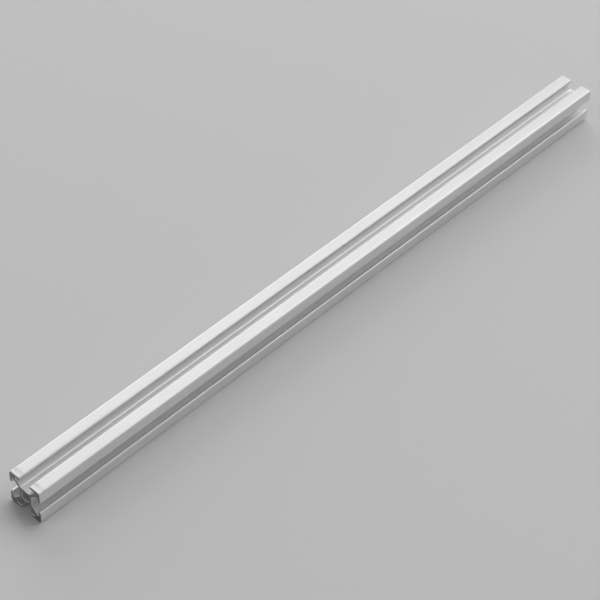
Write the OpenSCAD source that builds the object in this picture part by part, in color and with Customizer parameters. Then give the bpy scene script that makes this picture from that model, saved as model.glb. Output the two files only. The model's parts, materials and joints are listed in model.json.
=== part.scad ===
// Square T-slot bar: one extruded length of aluminium, lying along the Y axis on one of its four like sides

/* [Bar] */
// Length of the bar between its two sawn ends
bar_length = 400; // [50:1:1000]
// Side of the square section
side = 20; // [17:0.5:40]
// Radius of the four outer corners
corner_r = 1.5; // [0.3:0.1:2.5]

/* [Slots] */
// Width of each slot's mouth, between its two lips
mouth_w = 6.2; // [3:0.1:8]
// Thickness of the lips
lip_t = 1.5; // [1:0.1:2.2]
// Radius of the lips' outer edges
lip_r = 1; // [0.2:0.1:1.2]
// Radius of the lips' inner edges
lip_inner_r = 0.25; // [0.1:0.05:0.4]
// Radius of the inner corners of the slots
root_r = 0.4; // [0.1:0.05:0.6]
// Radius between the floor of each slot and the slanted walls beside it
floor_r = 1.5; // [0.2:0.1:5]

/* [Core] */
// Width of the solid corner beside each slot
corner_w = 4; // [3.5:0.1:5]
// Width of the square core round the bore
core_w = 8; // [6:0.1:11]
// Thickness of the four diagonal webs from the core to the corners
web_t = 1.7; // [0.8:0.1:2.4]
// Diameter of the bore through the core
bore_d = 5; // [2:0.1:5.8]

/* [Hidden] */
$fn = 96;
half = side / 2;
slot_turn = 90;
slot_count = 4;
// Cuts run this far past the surface that they open
overrun = 1;
// A web's two faces lie along the diagonal, so this is how far along an axis each lies from it
web_offset = web_t / sqrt(2);
// The top slot's outline, from the middle of the section: half widths and heights
mouth_half = mouth_w / 2;
cavity_half = half - corner_w;
floor_half = core_w / 2 - web_offset;
lip_y = half - lip_t;
wall_y = half - corner_w + web_offset;
floor_y = core_w / 2;
// The slanted walls rise from the floor at this angle
wall_angle = 45;
// The round between a wall and the floor takes this share of its radius from each
wall_share = tan(wall_angle / 2);
wall_run = (cavity_half - floor_half) / cos(wall_angle);
// A round is no larger than the wall that it is on
lip_inner_round = min(lip_inner_r, lip_t / 4);
lip_round = min(lip_r, lip_t - lip_inner_round);
root_round = min(root_r, (lip_y - wall_y) / 2);
floor_round = min(floor_r, floor_half / wall_share, wall_run / wall_share - root_round);

function along(angle, distance) = distance * [cos(angle), sin(angle)];

// The sliver between a sharp corner and its round, where the corner opens between two directions
module sliver(corner, from_angle, to_angle, radius) {
    half_angle = (to_angle - from_angle) / 2;
    centre = along(from_angle + half_angle, radius / sin(half_angle));
    reach = radius / tan(half_angle);
    translate(corner)
        difference() {
            polygon([[0, 0], along(from_angle, reach), centre, along(to_angle, reach)]);
            translate(centre) circle(radius);
        }
}

module both_sides() {
    children();
    mirror([1, 0]) children();
}

// Everything that the top slot takes out of the section
module slot() {
    difference() {
        union() {
            polygon([
                [-cavity_half, lip_y], [-cavity_half, wall_y], [-floor_half, floor_y],
                [floor_half, floor_y], [cavity_half, wall_y], [cavity_half, lip_y]
            ]);
            translate([-mouth_half, wall_y]) square([mouth_w, half + overrun - wall_y]);
        }
        both_sides() {
            sliver([cavity_half, lip_y], 180, 270, root_round);
            sliver([cavity_half, wall_y], 90, 180 + wall_angle, root_round);
            sliver([floor_half, floor_y], wall_angle, 180, floor_round);
        }
    }
    both_sides() {
        sliver([mouth_half, half], 270, 360, lip_round);
        sliver([mouth_half, lip_y], 0, 90, lip_inner_round);
    }
}

module section() {
    difference() {
        square(side, center = true);
        for (i = [0 : slot_count - 1]) {
            rotate(i * slot_turn) {
                sliver([half, half], 180, 270, corner_r);
                slot();
            }
        }
        circle(d = bore_d);
    }
}

module profile_bar() {
    color([0.8, 0.8, 0.81])
        translate([0, 0, half])
            rotate([90, 0, 0])
                linear_extrude(height = bar_length, center = true) section();
}

profile_bar();
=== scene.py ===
"""A length of square T-slot aluminium profile, lying on a pale studio floor."""

import json
import math

import bmesh
import bpy
from mathutils import Matrix, Vector


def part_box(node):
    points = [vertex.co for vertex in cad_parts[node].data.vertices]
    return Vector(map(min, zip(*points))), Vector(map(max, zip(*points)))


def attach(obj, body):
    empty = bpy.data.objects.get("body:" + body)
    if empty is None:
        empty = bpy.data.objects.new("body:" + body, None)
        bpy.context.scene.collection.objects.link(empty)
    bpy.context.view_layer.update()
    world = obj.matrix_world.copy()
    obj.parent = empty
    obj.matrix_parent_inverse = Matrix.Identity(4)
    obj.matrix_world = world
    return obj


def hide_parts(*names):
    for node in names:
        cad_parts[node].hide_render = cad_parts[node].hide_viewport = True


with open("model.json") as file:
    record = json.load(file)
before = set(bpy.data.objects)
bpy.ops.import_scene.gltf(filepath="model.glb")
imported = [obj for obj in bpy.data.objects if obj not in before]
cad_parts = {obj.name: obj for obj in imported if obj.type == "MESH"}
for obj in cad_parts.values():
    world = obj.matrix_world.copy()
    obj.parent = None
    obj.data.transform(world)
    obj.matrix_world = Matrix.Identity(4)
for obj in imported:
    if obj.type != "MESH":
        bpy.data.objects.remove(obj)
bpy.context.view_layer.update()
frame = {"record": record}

MM = 0.001

# The bar's overall sizes and its bore come from the frame
BAR_LOW, BAR_HIGH = (Vector(corner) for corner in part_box("profile_bar"))
HALF = (BAR_HIGH.x - BAR_LOW.x) / 2
BORE = next(mount for mount in frame["record"]["mounts"] if mount["name"] == "core_bore")
BORE_R = BORE["dims"]["r_mm"] * MM

# The section, as the solid has it, with heights from the middle of the bar
SLOT_COUNT = 4
QUARTER_TURN = math.pi / 2
CORNER_R = 1.5 * MM
MOUTH_HALF = 3.1 * MM
LIP_T = 1.5 * MM
LIP_R = 1.0 * MM
LIP_INNER_R = 0.25 * MM
ROOT_R = 0.4 * MM
FLOOR_R = 1.5 * MM
CORNER_W = 4.0 * MM
CORE_HALF = 4.0 * MM
WEB_T = 1.7 * MM
WEB_OFFSET = WEB_T / math.sqrt(2)
CAVITY_HALF = HALF - CORNER_W
LIP_Z = HALF - LIP_T
WALL_Z = HALF - CORNER_W + WEB_OFFSET
FLOOR_HALF = CORE_HALF - WEB_OFFSET

# The mesh: how fine its rounds are, which edges stay sharp, and the broken edge round each sawn end
ARC_STEP = math.radians(7.5)
BORE_SIDES = 64
SHARP_ANGLE = math.radians(30)
EDGE_BREAK = 0.15 * MM
END_MATERIAL_INDEX = 1

# Patterns in the metal: cells in a metre across the bar and along it, and detail
DIE_LINES = (2600, 5, 3)
BROAD_LINES = (520, 2.5, 2)
GRAIN = (7000, 4200, 2)
CLOUDS = (60, 26, 3)
BLOTCHES = (800, 800, 3)
SMEAR = (900, 900, 4)
# Most of a pattern's values lie in this stretch
PATTERN_STRETCH = (0.3, 0.7)

# The anodised sides: their tint, and what each pattern gives to tone, roughness and relief
SIDE_TINT = (0.994, 0.997, 1.0)
CLOUD_TONE = (0.825, 0.855)
DIE_LINE_TONE = (-0.03, 0.03)
BROAD_LINE_TONE = (-0.01, 0.01)
DIE_LINE_ROUGHNESS = (0.5, 0.62)
GRAIN_ROUGHNESS = (-0.03, 0.03)
BROAD_LINE_DEPTH = 0.02 * MM
DIE_LINE_DEPTH = 0.004 * MM
GRAIN_DEPTH = 0.004 * MM

# Dull marks on the top side, and a line of painted shade along the top slot's left lip: millimetres
# across the bar and behind its near end, reach, and strength
END_BAND = (0.0, 2.9, (30.0, 1.2, 1.2), 0.2)
LEFT_STAIN = (-7.8, 2.4, (2.4, 1.3, 1.0), 0.26)
RIGHT_STAIN = (5.0, 2.6, (2.0, 1.4, 1.0), 0.26)
FIRST_SPECK = (5.16, 78.95, (0.5, 0.6, 0.5), 0.22)
SECOND_SPECK = (5.0, 82.3, (0.5, 0.6, 0.5), 0.22)
THIRD_SPECK = (4.0, 236.0, (0.5, 1.2, 0.5), 0.16)
# Painted shade: a darker line the whole length of the top slot's left lip, where its round begins,
# standing in for a dark reflection there; partly a die line
LIP_PAINTED_SHADE = (-3.85, 200.0, (0.35, 4000.0, 0.35), 0.16)
MARKS_AND_PAINTED_SHADE = [END_BAND, LEFT_STAIN, RIGHT_STAIN, FIRST_SPECK, SECOND_SPECK, THIRD_SPECK, LIP_PAINTED_SHADE]
MARK_BLOTCHES = (0.4, 1.3)
MARK_ROUGHNESS = 0.25

# The sawn ends: the blade's middle, its arcs about 0.35 mm apart, and what they and the smear give; the
# arcs' tone is painted dark, as shade on the end faces, well below bare aluminium's
END_TINT = (0.995, 0.998, 1.0)
BLADE_CENTRE = (0.11, 0, 0.09)
BLADE_ARCS = 900
ARC_DISTORTION = 1.5
ARC_DETAIL = 2
# Painted shade: the ends' tone is kept far darker than bare aluminium so that the end faces look shaded
ARC_TONE_PAINTED_DARK = (0.22, 0.3)
SMEAR_TONE = (-0.04, 0.04)
SMEAR_ROUGHNESS = (0.4, 0.55)
ARC_DEPTH = 0.01 * MM
SMEAR_DEPTH = 0.01 * MM

# The camera, fitted to the long edges and both ends of the bar in the 600 by 600 picture
PICTURE_SIDE = 600
CAMERA_AZIMUTH = math.radians(40.34)
CAMERA_ELEVATION = math.radians(44.6)
CAMERA_ROLL = math.radians(3.45)
CAMERA_SIDESTEP = -14.54 * MM
CAMERA_RISE = -12.19 * MM
CAMERA_DISTANCE = 999.6 * MM
FOCAL_PIXELS = 2020.9
SENSOR_WIDTH = 36.0

# The studio: world and backdrop, the heights between which one goes over into the other, and the floor
WHITE = (1, 1, 1, 1)
WORLD_LIGHT = 0.2
BACKDROP_TONE = 0.48
BACKDROP_HEIGHTS = (0.03, 0.25)
FLOOR_REACH = 8.0
FLOOR_COLOUR = (0.78, 0.78, 0.78, 1)
FLOOR_ROUGHNESS = 0.9
# Between these distances from the bar's middle the floor goes over into the backdrop
FLOOR_FADE = (0.8, 2.4)

# The lamps: name, place in metres, width and height in metres, and power in watts
LAMPS = [
    ("overhead", (0.46, 1.763, 2.38), (2.8, 2.6), 38),
    ("back_left", (-1.51, 1.31, 2.23), (1.58, 3.75), 9),
    ("front_left", (-1.38, -2.1, 1.63), (1.5, 1.5), 6),
    ("left", (-2.55, 1.31, 0.88), (1.67, 3.4), 26),
]


def add_object(name, data):
    """A new object in the scene."""
    thing = bpy.data.objects.new(name, data)
    bpy.context.scene.collection.objects.link(thing)
    return thing


def rounded_outline(corners):
    """Points of a closed outline through the corners, each given as x, z and the radius of its round."""
    outline = []
    for i, (x, z, radius) in enumerate(corners):
        corner = Vector((x, z))
        back = (Vector(corners[i - 1][:2]) - corner).normalized()
        onward = (Vector(corners[(i + 1) % len(corners)][:2]) - corner).normalized()
        opening = back.angle(onward)
        centre = corner + (back + onward).normalized() * (radius / math.sin(opening / 2))
        first = corner + back * (radius / math.tan(opening / 2)) - centre
        turn = math.copysign(math.pi - opening, onward.cross(back))
        steps = max(1, round(abs(turn) / ARC_STEP))
        outline += [centre + Matrix.Rotation(turn * k / steps, 2) @ first for k in range(steps + 1)]
    return outline


def bar_outline():
    """The section's outer outline, anticlockwise, about the middle of the section."""
    half_quarter = [
        (CORE_HALF, FLOOR_HALF, FLOOR_R),
        (WALL_Z, CAVITY_HALF, ROOT_R),
        (LIP_Z, CAVITY_HALF, ROOT_R),
        (LIP_Z, MOUTH_HALF, LIP_INNER_R),
        (HALF, MOUTH_HALF, LIP_R),
    ]
    mirrored = [(z, x, radius) for x, z, radius in reversed(half_quarter)]
    quarter = half_quarter + [(HALF, HALF, CORNER_R)] + mirrored
    corners = []
    for i in range(SLOT_COUNT):
        rotation = Matrix.Rotation(i * QUARTER_TURN, 2)
        corners += [(*(rotation @ Vector((x, z))), radius) for x, z, radius in quarter]
    return rounded_outline(corners)


def bore_outline():
    """The bore's outline, clockwise, so that the metal lies on its left like the outer outline's."""
    angles = [-2 * math.pi * k / BORE_SIDES for k in range(BORE_SIDES)]
    return [BORE_R * Vector((math.cos(a), math.sin(a))) for a in angles]


def inset(outline, distance):
    """The outline moved into the metal, which lies on its left."""
    moved = []
    for i, point in enumerate(outline):
        before = (point - outline[i - 1]).normalized().orthogonal()
        after = (outline[(i + 1) % len(outline)] - point).normalized().orthogonal()
        moved.append(point + (before + after) * (distance / (1 + before.dot(after))))
    return moved


def make_bar(side_material, end_material):
    """The bar as one closed mesh, with its ends in their own material."""
    mesh = bmesh.new()
    middle_z = BAR_LOW.z + HALF
    stations = [
        (BAR_LOW.y, EDGE_BREAK),
        (BAR_LOW.y + EDGE_BREAK, 0),
        (BAR_HIGH.y - EDGE_BREAK, 0),
        (BAR_HIGH.y, EDGE_BREAK),
    ]
    end_edges = {BAR_LOW.y: [], BAR_HIGH.y: []}
    for outline in (bar_outline(), bore_outline()):
        rings = []
        for y, cut_back in stations:
            points = inset(outline, cut_back)
            rings.append([mesh.verts.new((p.x, y, middle_z + p.y)) for p in points])
        count = len(outline)
        for lower, upper in zip(rings, rings[1:]):
            for i in range(count):
                j = (i + 1) % count
                mesh.faces.new((lower[i], lower[j], upper[j], upper[i]))
        for y, ring in ((BAR_LOW.y, rings[0]), (BAR_HIGH.y, rings[-1])):
            end_edges[y] += [mesh.edges.get((ring[i], ring[(i + 1) % count])) for i in range(count)]
    for edges in end_edges.values():
        filled = bmesh.ops.triangle_fill(mesh, use_beauty=True, use_dissolve=False, edges=edges)
        for item in filled["geom"]:
            if isinstance(item, bmesh.types.BMFace):
                item.material_index = END_MATERIAL_INDEX
    bmesh.ops.recalc_face_normals(mesh, faces=mesh.faces)
    data = bpy.data.meshes.new("tslot_bar")
    mesh.to_mesh(data)
    mesh.free()
    data.shade_smooth()
    data.set_sharp_from_angle(angle=SHARP_ANGLE)
    data.materials.append(side_material)
    data.materials.append(end_material)
    return add_object("tslot_bar", data)


def new_material(name):
    """A material with its node tree and its shader."""
    material = bpy.data.materials.new(name)
    material.use_nodes = True
    tree = material.node_tree
    return material, tree, tree.nodes["Principled BSDF"]


def object_coordinates(tree):
    """Where a point lies on its object, in metres."""
    return tree.nodes.new("ShaderNodeTexCoord").outputs["Object"]


def stretched_noise(tree, coordinates, across, along, detail):
    """Noise with so many cells in a metre across the bar and along it."""
    mapping = tree.nodes.new("ShaderNodeMapping")
    mapping.inputs["Scale"].default_value = (across, along, across)
    tree.links.new(coordinates, mapping.inputs["Vector"])
    noise = tree.nodes.new("ShaderNodeTexNoise")
    noise.inputs["Scale"].default_value = 1
    noise.inputs["Detail"].default_value = detail
    tree.links.new(mapping.outputs["Vector"], noise.inputs["Vector"])
    return noise.outputs["Fac"]


def ranged(tree, value, result, stretch=PATTERN_STRETCH):
    """The value's stretch laid out over the range of the result, each given by its two ends."""
    node = tree.nodes.new("ShaderNodeMapRange")
    sockets = ("From Min", "From Max", "To Min", "To Max")
    for socket, number in zip(sockets, (*stretch, *result)):
        node.inputs[socket].default_value = number
    tree.links.new(value, node.inputs["Value"])
    return node.outputs["Result"]


def combined(tree, operation, first, second):
    """One value worked out from two, each a socket or a number."""
    node = tree.nodes.new("ShaderNodeMath")
    node.operation = operation
    for value, socket in zip((first, second), node.inputs):
        if isinstance(value, (int, float)):
            socket.default_value = value
        else:
            tree.links.new(value, socket)
    return node.outputs["Value"]


def tinted(tree, brightness, tint):
    """A colour: the tint at the given brightness."""
    node = tree.nodes.new("ShaderNodeVectorMath")
    node.operation = "SCALE"
    node.inputs["Vector"].default_value = tint
    tree.links.new(brightness, node.inputs["Scale"])
    return node.outputs["Vector"]


def relief(tree, height, depth, under=None):
    """A normal bent by a height that spans the given depth, in metres, laid over another relief."""
    bump = tree.nodes.new("ShaderNodeBump")
    bump.inputs["Distance"].default_value = depth
    tree.links.new(height, bump.inputs["Height"])
    if under is not None:
        tree.links.new(under, bump.inputs["Normal"])
    return bump.outputs["Normal"]


def mark(tree, coordinates, across, behind, reach):
    """A soft-edged spot on the top side: 1 at its middle and 0 from its reach outward."""
    mapping = tree.nodes.new("ShaderNodeMapping")
    mapping.vector_type = "TEXTURE"
    mapping.inputs["Location"].default_value = (across * MM, BAR_LOW.y + behind * MM, BAR_HIGH.z)
    mapping.inputs["Scale"].default_value = Vector(reach) * MM
    tree.links.new(coordinates, mapping.inputs["Vector"])
    spot = tree.nodes.new("ShaderNodeTexGradient")
    spot.gradient_type = "SPHERICAL"
    tree.links.new(mapping.outputs["Vector"], spot.inputs["Vector"])
    return spot.outputs["Fac"]


def marks_and_painted_shade(tree, place):
    """How dull the metal is at its marks and how dark along the painted lip shade, broken up by blotches,
    and 0 away from them.
    """
    marks = 0
    for across, behind, reach, strength in MARKS_AND_PAINTED_SHADE:
        spot = combined(tree, "MULTIPLY", mark(tree, place, across, behind, reach), strength)
        marks = combined(tree, "MAXIMUM", marks, spot)
    blotches = stretched_noise(tree, place, *BLOTCHES)
    return combined(tree, "MULTIPLY", marks, ranged(tree, blotches, MARK_BLOTCHES))


def anodised_material():
    """Clear satin anodised aluminium: die lines along the bar, a fine etched grain, a few marks and a
    line of painted shade along the top slot's left lip.
    """
    material, tree, shader = new_material("anodised_aluminium")
    place = object_coordinates(tree)
    die_lines = stretched_noise(tree, place, *DIE_LINES)
    broad_lines = stretched_noise(tree, place, *BROAD_LINES)
    grain = stretched_noise(tree, place, *GRAIN)
    clouds = stretched_noise(tree, place, *CLOUDS)
    marks = marks_and_painted_shade(tree, place)
    tone = combined(tree, "ADD", ranged(tree, die_lines, DIE_LINE_TONE), ranged(tree, clouds, CLOUD_TONE))
    tone = combined(tree, "ADD", tone, ranged(tree, broad_lines, BROAD_LINE_TONE))
    # The marks darken the tone; along the left lip this darkening is painted shade
    tone = combined(tree, "MULTIPLY", tone, combined(tree, "SUBTRACT", 1, marks))
    tree.links.new(tinted(tree, tone, SIDE_TINT), shader.inputs["Base Color"])
    rough = ranged(tree, die_lines, DIE_LINE_ROUGHNESS)
    rough = combined(tree, "ADD", rough, ranged(tree, grain, GRAIN_ROUGHNESS))
    rough = combined(tree, "ADD", rough, combined(tree, "MULTIPLY", marks, MARK_ROUGHNESS))
    tree.links.new(rough, shader.inputs["Roughness"])
    normal = relief(tree, broad_lines, BROAD_LINE_DEPTH)
    normal = relief(tree, die_lines, DIE_LINE_DEPTH, normal)
    normal = relief(tree, grain, GRAIN_DEPTH, normal)
    tree.links.new(normal, shader.inputs["Normal"])
    shader.inputs["Metallic"].default_value = 1
    return material


def blade_arcs(tree, place):
    """The saw blade's marks: rings round the blade's middle, from 0 to 1."""
    blade = tree.nodes.new("ShaderNodeMapping")
    blade.vector_type = "TEXTURE"
    blade.inputs["Location"].default_value = BLADE_CENTRE
    tree.links.new(place, blade.inputs["Vector"])
    arcs = tree.nodes.new("ShaderNodeTexWave")
    arcs.wave_type = "RINGS"
    arcs.rings_direction = "Y"
    arcs.inputs["Scale"].default_value = BLADE_ARCS
    arcs.inputs["Distortion"].default_value = ARC_DISTORTION
    arcs.inputs["Detail"].default_value = ARC_DETAIL
    tree.links.new(blade.outputs["Vector"], arcs.inputs["Vector"])
    return arcs.outputs["Fac"]


def sawn_material_painted_dark():
    """Sawn aluminium with the blade's arcs across it, its tone painted dark as shade on the end faces."""
    material, tree, shader = new_material("sawn_aluminium_painted_dark")
    place = object_coordinates(tree)
    arcs = blade_arcs(tree, place)
    smear = stretched_noise(tree, place, *SMEAR)
    # The arcs' tone, painted dark as shade on the end faces
    tone = ranged(tree, arcs, ARC_TONE_PAINTED_DARK, (0, 1))
    tone = combined(tree, "ADD", tone, ranged(tree, smear, SMEAR_TONE))
    tree.links.new(tinted(tree, tone, END_TINT), shader.inputs["Base Color"])
    tree.links.new(ranged(tree, smear, SMEAR_ROUGHNESS), shader.inputs["Roughness"])
    normal = relief(tree, arcs, ARC_DEPTH)
    normal = relief(tree, smear, SMEAR_DEPTH, normal)
    tree.links.new(normal, shader.inputs["Normal"])
    shader.inputs["Metallic"].default_value = 1
    return material


def looked_at(tree):
    """1 for what the camera sees, straight or in a reflection, and 0 for what only sheds light."""
    path = tree.nodes.new("ShaderNodeLightPath").outputs
    seen = combined(tree, "MAXIMUM", path["Is Camera Ray"], path["Is Glossy Ray"])
    return combined(tree, "MAXIMUM", seen, path["Is Transmission Ray"])


def floor_material():
    """A pale matt floor, which goes over into the backdrop's tone well away from the bar."""
    material, tree, shader = new_material("pale_floor")
    shader.inputs["Base Color"].default_value = FLOOR_COLOUR
    shader.inputs["Roughness"].default_value = FLOOR_ROUGHNESS
    distance = tree.nodes.new("ShaderNodeVectorMath")
    distance.operation = "LENGTH"
    tree.links.new(object_coordinates(tree), distance.inputs["Vector"])
    far = ranged(tree, distance.outputs["Value"], (0, 1), FLOOR_FADE)
    backdrop = tree.nodes.new("ShaderNodeEmission")
    backdrop.inputs["Strength"].default_value = BACKDROP_TONE
    mix = tree.nodes.new("ShaderNodeMixShader")
    tree.links.new(combined(tree, "MULTIPLY", far, looked_at(tree)), mix.inputs["Fac"])
    tree.links.new(shader.outputs["BSDF"], mix.inputs[1])
    tree.links.new(backdrop.outputs["Emission"], mix.inputs[2])
    tree.links.new(mix.outputs["Shader"], tree.nodes["Material Output"].inputs["Surface"])
    return material


def make_floor():
    """A large square floor under the bar."""
    data = bpy.data.meshes.new("floor")
    signs = ((-1, -1), (1, -1), (1, 1), (-1, 1))
    corners = [(x * FLOOR_REACH, y * FLOOR_REACH, 0) for x, y in signs]
    data.from_pydata(corners, [], [(0, 1, 2, 3)])
    data.materials.append(floor_material())
    floor = add_object("floor", data)


def make_camera():
    """The camera at the photograph's viewing angle."""
    back = Vector((
        math.sin(CAMERA_AZIMUTH) * math.cos(CAMERA_ELEVATION),
        -math.cos(CAMERA_AZIMUTH) * math.cos(CAMERA_ELEVATION),
        math.sin(CAMERA_ELEVATION),
    ))
    level_right = Vector((0, 0, 1)).cross(back).normalized()
    roll = Matrix.Rotation(CAMERA_ROLL, 3, back)
    right = roll @ level_right
    up = back.cross(right)
    data = bpy.data.cameras.new("camera")
    data.sensor_width = SENSOR_WIDTH
    data.lens = SENSOR_WIDTH * FOCAL_PIXELS / PICTURE_SIDE
    camera = add_object("camera", data)
    bar_middle = (BAR_LOW + BAR_HIGH) / 2
    place = bar_middle + right * CAMERA_SIDESTEP + up * CAMERA_RISE + back * CAMERA_DISTANCE
    turn = Matrix((right, up, back)).transposed().to_4x4()
    camera.matrix_world = Matrix.Translation(place) @ turn
    bpy.context.scene.camera = camera


def add_softbox(name, place, size, power):
    """A soft rectangular lamp that faces the bar."""
    data = bpy.data.lights.new(name, "AREA")
    data.shape = "RECTANGLE"
    data.size, data.size_y = size
    data.energy = power
    lamp = add_object(name, data)
    lamp.location = place
    lamp.rotation_euler = Vector(place).to_track_quat("Z", "Y").to_euler()


def make_world():
    """Faint light from above, which brightens to the backdrop's tone towards the horizon."""
    world = bpy.data.worlds.new("studio")
    world.use_nodes = True
    tree = world.node_tree
    background = tree.nodes["Background"]
    background.inputs["Color"].default_value = WHITE
    sky = tree.nodes.new("ShaderNodeTexCoord").outputs["Generated"]
    direction = tree.nodes.new("ShaderNodeSeparateXYZ")
    tree.links.new(sky, direction.inputs["Vector"])
    strength = ranged(tree, direction.outputs["Z"], (BACKDROP_TONE, WORLD_LIGHT), BACKDROP_HEIGHTS)
    tree.links.new(strength, background.inputs["Strength"])
    bpy.context.scene.world = world


bar = make_bar(anodised_material(), sawn_material_painted_dark())
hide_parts("profile_bar")
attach(bar, "root")
make_floor()
make_camera()
make_world()
for lamp in LAMPS:
    add_softbox(*lamp)
bpy.context.scene.view_settings.view_transform = "Standard"
